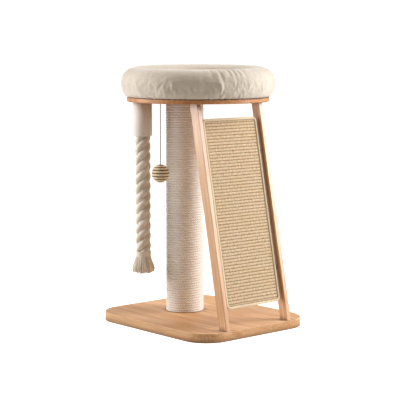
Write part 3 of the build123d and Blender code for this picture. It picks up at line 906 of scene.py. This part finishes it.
def make_binding(middle, uphill, outward, width, length):
    """Tape folded over the panel's edge, front and back, a little uneven, with a row of stitches."""
    outline, normal = rounded_outline(width / 2, length / 2, 0.012, 0.004)
    cross = [(-BINDING_LAP, -0.0009), (-BINDING_LAP + 0.0006, 0.0005), (-0.004, 0.0008), (-0.0016, 0.0006),
             (-0.0004, -0.0002), (0.0, -0.0016)]
    half = PANEL_T / 2
    section = [(out, half + lift) for out, lift in cross]
    section += [(out, -half - lift) for out, lift in reversed(cross)]
    section += [(-BINDING_LAP, -half + 0.0022), (-0.0030, -half + 0.0022), (-0.0030, half - 0.0022),
                (-BINDING_LAP, half - 0.0022)]
    section = np.array(section)
    puckers = 0.00018 * np.sin(lengths(outline) / STITCH_PITCH * TURN)
    puckers += CREW.uniform(-0.0001, 0.0001, len(outline))
    reach = section[None, :, 0] + puckers[:, None] * 0.5
    flat = outline[:, None, :] + normal[:, None, :] * reach[..., None]
    depth = section[None, :, 1] * (1 + puckers[:, None] * 14)
    rows = middle + flat[..., 0:1] * X_WAY + flat[..., 1:2] * uphill + depth[..., None] * outward
    cloth = woven("binding_cloth", srgb(244, 228, 198), srgb(220, 198, 162), thread=0.0011, depth=0.0003)
    girth = np.append(lengths(section), lengths(section)[-1] + 0.004)
    strip = surfaced("binding_tape", rows, lengths(outline), girth, cloth, "frame", "binding_cloth",
                     closed_rows=True)
    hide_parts("panel_binding")


def make_panel():
    middle, uphill, outward, width, length, lean = panel_frame()
    make_sisal(middle, uphill, outward, width, length)
    make_binding(middle, uphill, outward, width, length)
    tones = (srgb(226, 194, 150), srgb(208, 172, 126), srgb(178, 138, 94))
    paint("panel_board", wood("panel_ply", *tones, rotation=(math.pi / 2 + lean, 0, 0), board=0.3, seed=6.1))


# --- bed ---

BOLSTER_STEPS = 400
CLOTH_SETTINGS = {
    "quality": 5, "mass": 0.15, "tension_stiffness": 18, "compression_stiffness": 18, "shear_stiffness": 6,
    "bending_stiffness": 0.06, "use_pressure": True, "uniform_pressure_force": 4.0,
    "vertex_group_mass": "seams",
}
CLOTH_FRAMES = 20
CLOTH_EXCESS = 0.085
CLOTH_CAP = 0.0032
WRINKLE_STEPS = 17  # waves longer than about twice this are left out of the folds
FOLD_GAIN = 0.62
NEAR_RIM_DROP = 0.0040
FAR_RIM_LIFT = 0.0074
WELT = 0.0010
FACING = math.atan2(-FORWARD[1], -FORWARD[0])
BUSY_FOLDS = ((FACING + 0.43, 0.30, 1.0), (FACING - 0.66, 0.16, 0.45), (FACING + 1.5, 0.5, 0.35),
              (FACING + 2.6, 0.4, 0.6), (FACING - 2.3, 0.5, 0.5))
CREST_SEAM = 15
FLAT_OUT, FLAT_IN = 0.51, -0.64  # where its flat underside ends, as shares of half its width


def bolster_section(half):
    """(outward, upward) offsets round the bolster's section, and the rows of its three seams."""
    def arc(start, end, step, pulled):
        angle = np.radians(np.arange(start, end, step))
        return [(half * (pulled + (1 - abs(pulled)) * math.cos(a)), half * math.sin(a)) for a in angle]

    points = arc(0, 180, 6, 0)
    points += arc(180, 270, 7.5, FLAT_IN)
    inner_seam = len(points)
    points += [(half * (FLAT_IN + (FLAT_OUT - FLAT_IN) * share), -half) for share in np.arange(0, 1, 0.2)]
    outer_seam = len(points)
    points += arc(270, 360, 7.5, FLAT_OUT)
    return np.array(points), (CREST_SEAM, inner_seam, outer_seam)


def bolster_rows():
    """Rows of points for the filled ring, its bearings, its section and its seam rows."""
    low, high, middle = span("bed_bolster")
    half = (high[2] - low[2]) / 2
    orbit = (high[0] - low[0]) / 2 - half
    section, seams = bolster_section(half)
    bearing = circle(BOLSTER_STEPS)
    ways = ways_of(bearing)
    far = 0.5 + 0.5 * (ways @ FORWARD)
    rise = (section[:, 1] + half) / (2 * half)
    upward = section[None, :, 1] + rise[None, :] * (FAR_RIM_LIFT * far - NEAR_RIM_DROP)[:, None]
    rows = middle + ways[:, None, :] * (orbit + section[None, :, 0, None]) + upward[..., None] * UP
    return rows, bearing, section, seams


def normals_of(rows):
    """Outward normals of a closed grid of points."""
    around = np.roll(rows, -1, 0) - np.roll(rows, 1, 0)
    over = np.roll(rows, -1, 1) - np.roll(rows, 1, 1)
    return unit(np.cross(around, over))


def busyness(bearing):
    """How strongly the cloth is folded at each bearing, from about 0.3 to 1.3."""
    total = np.full(len(bearing), 0.30)
    for centre, width, strength in BUSY_FOLDS:
        apart = (bearing - centre + math.pi) % TURN - math.pi
        total += strength * np.exp(-(apart / width) ** 2)
    return total


def filled(rows, bearing, seams):
    """The rows after cloth that is cut too long for them is blown out between its seams."""
    steps, ring = rows.shape[:2]
    start = rows + normals_of(rows) * 0.0003 * CREW.standard_normal((steps, ring, 1))
    skin = Skin()
    skin.grid(start, np.arange(steps + 1), np.arange(ring + 1), closed_rows=True)
    mesh = bpy.data.meshes.new("filling")
    mesh.from_pydata([tuple(p) for p in start.reshape(-1, 3)], [], skin.faces)
    made = bpy.data.objects.new("filling", mesh)
    bpy.context.scene.collection.objects.link(made)
    made.shape_key_add(name="Basis")
    cut = made.shape_key_add(name="cut")
    middle = span("bed_bolster")[2]
    spread = 1 + CLOTH_EXCESS * np.clip(busyness(bearing), 0.4, 1.2)
    larger = middle + (rows - middle) * np.stack([spread, spread, 0 * spread + 1.0], axis=1)[:, None, :]
    cut.data.foreach_set("co", larger.reshape(-1).astype(np.float32))
    group = made.vertex_groups.new(name="seams")
    for row in seams:
        group.add([int(step * ring + row) for step in range(steps)], 1.0, "REPLACE")
    cloth = made.modifiers.new("fill", "CLOTH")
    for key, value in CLOTH_SETTINGS.items():
        setattr(cloth.settings, key, value)
    cloth.settings.rest_shape_key = cut
    cloth.settings.effector_weights.gravity = 0
    cloth.collision_settings.use_collision = False
    cloth.collision_settings.use_self_collision = False
    for moment in range(1, CLOTH_FRAMES + 1):
        bpy.context.scene.frame_set(moment)
    graph = bpy.context.evaluated_depsgraph_get()
    settled = made.evaluated_get(graph).to_mesh()
    places = np.empty(steps * ring * 3, np.float32)
    settled.vertices.foreach_get("co", places)
    made.evaluated_get(graph).to_mesh_clear()
    bpy.data.objects.remove(made)
    bpy.data.meshes.remove(mesh)
    bpy.context.scene.frame_set(1)
    shift = places.reshape(rows.shape).astype(float) - rows
    way = np.exp(1j * bearing)[:, None]  # outward, with the level plane as complex numbers
    level = (shift[..., 0] + 1j * shift[..., 1]) / way
    window = WRINKLE_STEPS
    parts = []
    for part in (level, shift[..., 2]):
        padded = np.concatenate([part[-window:], part, part[:window]])
        total = np.cumsum(np.concatenate([np.zeros((1, ring)), padded]), axis=0)
        broad = (total[2 * window + 1:] - total[:-2 * window - 1]) / (2 * window + 1)
        parts.append((part - broad[:steps]) * FOLD_GAIN)
    level, upward = parts[0] * way, parts[1]
    wrinkle = np.stack([level.real, level.imag, upward], axis=-1)
    size = np.linalg.norm(wrinkle, axis=-1, keepdims=True)
    return rows + wrinkle * np.minimum(1, CLOTH_CAP / np.maximum(size, 1e-9))


def refined(rows):
    """The closed grid with twice the rows and twice the points in each, smoothly."""
    for axis in (0, 1):
        between = (rows + np.roll(rows, -1, axis)) / 2
        both = np.stack([rows, between], axis=axis + 1)
        shape = list(rows.shape)
        shape[axis] *= 2
        rows = both.reshape(shape)
        rows = rows / 2 + (np.roll(rows, 1, axis) + np.roll(rows, -1, axis)) / 4
    return rows


def creases(bearing, girth, busy, seam_at, way, count, reach, depth, rim):
    """Gathers running from a seam: how far each point of the grid is pushed in or out."""
    total = np.zeros((len(bearing), len(girth) - 1))
    along = ((girth[:-1] - seam_at) * way) % girth[-1]
    placed = (np.arange(count) + CREW.uniform(-0.42, 0.42, count)) / count * TURN
    for centre in placed:
        strength = np.interp(centre % TURN, bearing, busy)
        length = reach * CREW.uniform(0.45, 1.0) * (0.55 + 0.45 * min(strength, 1.3))
        width = CREW.uniform(0.0020, 0.0036)
        deep = depth * CREW.uniform(0.35, 1.0) * min(strength, 1.3)
        lean = CREW.uniform(-0.16, 0.16)
        sway = CREW.uniform(-0.0012, 0.0012)
        curl = CREW.uniform(0, TURN)
        share = along / length
        fade = np.clip(1 - share, 0, 1) ** 0.9 * np.clip(share * 14 + 0.25, 0, 1)
        path = centre + (lean * along + sway * np.sin(share * 4 + curl)) / rim
        apart = (bearing[:, None] - path[None, :] + math.pi) % TURN - math.pi
        apart *= rim / (width * (1 + share * 0.8))
        total += deep * fade * (0.45 * np.exp(-(np.abs(apart) - 2.1) ** 2) - np.exp(-apart ** 2))
    return total


def make_bolster():
    """Ring of filled cloth, gathered at a welted seam round its crest and at two seams underneath."""
    rows, bearing, section, seams = bolster_rows()
    rows = filled(rows, bearing, seams)
    rows = refined(rows)
    bearing = circle(len(rows))
    closed = np.concatenate([section, section[:1]])
    girth = np.interp(np.arange(rows.shape[1] + 1) / 2, np.arange(len(closed)), lengths(closed))
    busy = busyness(bearing)
    crest, inner, outer = (girth[2 * row] for row in seams)
    rim = span("bed_bolster")[1][0]
    push = creases(bearing, girth, 1.25 * busy - 0.22, crest, -1, 96, 0.072, 0.0020, rim)
    push += creases(bearing, girth, busy, crest, 1, 80, 0.045, 0.0012, rim * 0.7)
    push += creases(bearing, girth, 0.30 + 0.8 * busy, outer, 1, 120, 0.030, 0.0018, rim)
    push += creases(bearing, girth, 0.6 + 0.3 * busy, inner, -1, 80, 0.026, 0.0010, rim * 0.65)
    for offset, share in ((-1, 0.25), (0, 1.0), (1, 0.25)):
        push[:, 2 * seams[0] + offset] = WELT * share
    rows = rows + normals_of(rows) * push[..., None]
    floor = span("bed_bolster")[0][2]
    rows[..., 2] = np.maximum(rows[..., 2], floor)
    cloth = woven("bed_cloth", srgb(228, 218, 205), srgb(202, 187, 168), thread=0.0007, depth=0.00012)
    bolster = surfaced("bed_bolster_cloth", rows, np.append(bearing, TURN) * rim, girth, cloth, "bed",
                       "bed_cloth", closed_rows=True)
    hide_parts("bed_bolster")


def turned(profile, centre, steps, ripple, name, material, slot):
    """Closed round piece from its (radius, height) profile, from under its middle out and up to its top."""
    angle = circle(steps)
    profile = np.array(profile)
    reach, height = profile[:, 0, None], profile[:, 1, None]
    rows = polar(centre, reach, angle, height + ripple(reach, angle[None, :], height))
    around = np.append(angle, TURN) * profile[:, 0].max()
    return surfaced(name, rows, lengths(profile), around, material, "bed", slot)


PAD_EDGE_R = 0.0105
PAD_CORD_R = 0.0014


def make_pad():
    """Round seat pad: crowned, with a corded seam round its edge and slight puckers beside it."""
    low, high, middle = span("bed_pad")
    radius = (high[0] - low[0]) / 2
    tall = high[2] - low[2]
    seam = low[2] + tall * 0.42
    sides = []
    for degrees in range(-80, 81, 8):
        turn = math.radians(degrees)
        cord = PAD_CORD_R * math.exp(-(degrees / 9) ** 2)
        out = radius - PAD_EDGE_R - PAD_CORD_R + (PAD_EDGE_R + cord) * math.cos(turn)
        sides.append((out, seam + 0.0107 * math.sin(turn)))
    inside = [(0.002, low[2])]
    inside += [(radius * share, low[2] + 0.0002 * share) for share in np.linspace(0.1, 0.88, 10)]
    crown = []
    for share in np.linspace(0.90, 0.0, 22):
        lift = (1 - share ** 2.2) * (high[2] - seam - PAD_EDGE_R)
        crown.append((max(0.002, radius * share), seam + PAD_EDGE_R + lift))

    phases = CREW.uniform(0, TURN, 4)

    def puckers(reach, angle, height):
        edge = np.exp(-((reach / radius - 0.9) / 0.07) ** 2) * (height > seam)
        waves = np.sin(47 * angle + phases[0]) + 0.7 * np.sin(31 * angle + phases[1])
        broad = np.sin(3 * angle + phases[2]) * np.sin(reach / radius * 5 + phases[3])
        hollow = broad * (reach / radius) * (1 - reach / radius) * 4 * (height > seam)
        return 0.0006 * edge * waves + 0.0007 * hollow

    lining = woven("bed_pad_cloth", srgb(232, 224, 210), srgb(212, 200, 182), thread=0.0009)
    pad = turned(inside + sides + crown, middle, 280, puckers, "bed_pad_cushion", lining, "bed_pad_cloth")
    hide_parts("bed_pad")


def make_floor_cloth():
    """Thick cloth disc that closes the bed's underside, its hem stitched into the ring."""
    low, high, middle = span("bed_floor")
    radius = (high[0] - low[0]) / 2
    phases = CREW.uniform(0, TURN, 3)

    def ripples(reach, angle, _):
        quilt = np.sin(9 * angle + phases[0]) * np.sin(reach / radius * 7 + phases[1])
        hem = np.sin(60 * angle + phases[2]) * (reach > 0.9 * radius)
        return 0.00022 * quilt * (reach / radius) + 0.00008 * hem

    inset = 0.0003
    shares = np.linspace(0.02, 0.985, 16)
    profile = [(radius * share, low[2] + inset) for share in shares]
    profile += [(radius * 0.998, low[2] + 0.0006), (radius, (low[2] + high[2]) / 2)]
    profile += [(radius * 0.998, high[2] - 0.0006)]
    profile += [(radius * share, high[2] - inset) for share in shares[::-1]]
    canvas = woven("bed_floor_cloth", srgb(222, 212, 196), srgb(196, 184, 166), thread=0.0012)
    disc = turned(profile, middle, 200, ripples, "bed_floor_disc", canvas, "bed_floor_cloth")
    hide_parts("bed_floor")


# --- everything ---

def paint_cad():
    """Wood, board, steel and tape for the CAD nodes that stay in sight."""
    oak = (srgb(242, 210, 168), srgb(224, 180, 132), srgb(186, 130, 82))
    lean = panel_frame()[-1]
    paint("base_board", wood("base_wood", *oak, seed=0.3))
    # Partly painted shade: the top board's tones are darker and redder than the oak, for its own reddish
    # streaks and for the shade under the bed.
    red_oak_and_shade = (srgb(234, 188, 138), srgb(210, 152, 100), srgb(158, 98, 52))
    paint("top_board", wood("top_wood", *red_oak_and_shade, seed=1.9))
    along_slope = (math.pi / 2 + lean, 0, 0)
    for node, seed in (("rail_left", 3.1), ("rail_right", 4.7)):
        paint(node, wood(node + "_wood", *oak, rotation=along_slope, board=0.09, seed=seed, gloss=1.0))
    plug = wood("plug_wood", srgb(226, 196, 150), srgb(206, 170, 122), srgb(176, 138, 92), board=0.2)
    for material, nodes in (
        (plug, ("post_plug_base", "post_plug_top", "sleeve_plug")),
        (cardboard("cardboard_tube"), ("post_core", "sleeve_tube")),
        (steel("zinc_steel"), ("post_insert_base", "post_insert_top", "post_bolt_base", "post_bolt_top",
                               "post_washers", "rail_screws_base", "rail_screws_top", "panel_pins",
                               "sleeve_screw")),
    ):
        for node in nodes:
            paint(node, material)
    paint("bed_hook_patches", tape("hook_tape", srgb(226, 222, 212), srgb(180, 174, 160), 900.0))
    paint("bed_loop_patches", tape("loop_tape", srgb(232, 228, 218), srgb(196, 190, 176), 600.0))


make_camera()
make_rope()
make_ball()
make_studio()
make_sleeve()
make_post()
make_panel()
make_bolster()
make_pad()
make_floor_cloth()
paint_cad()
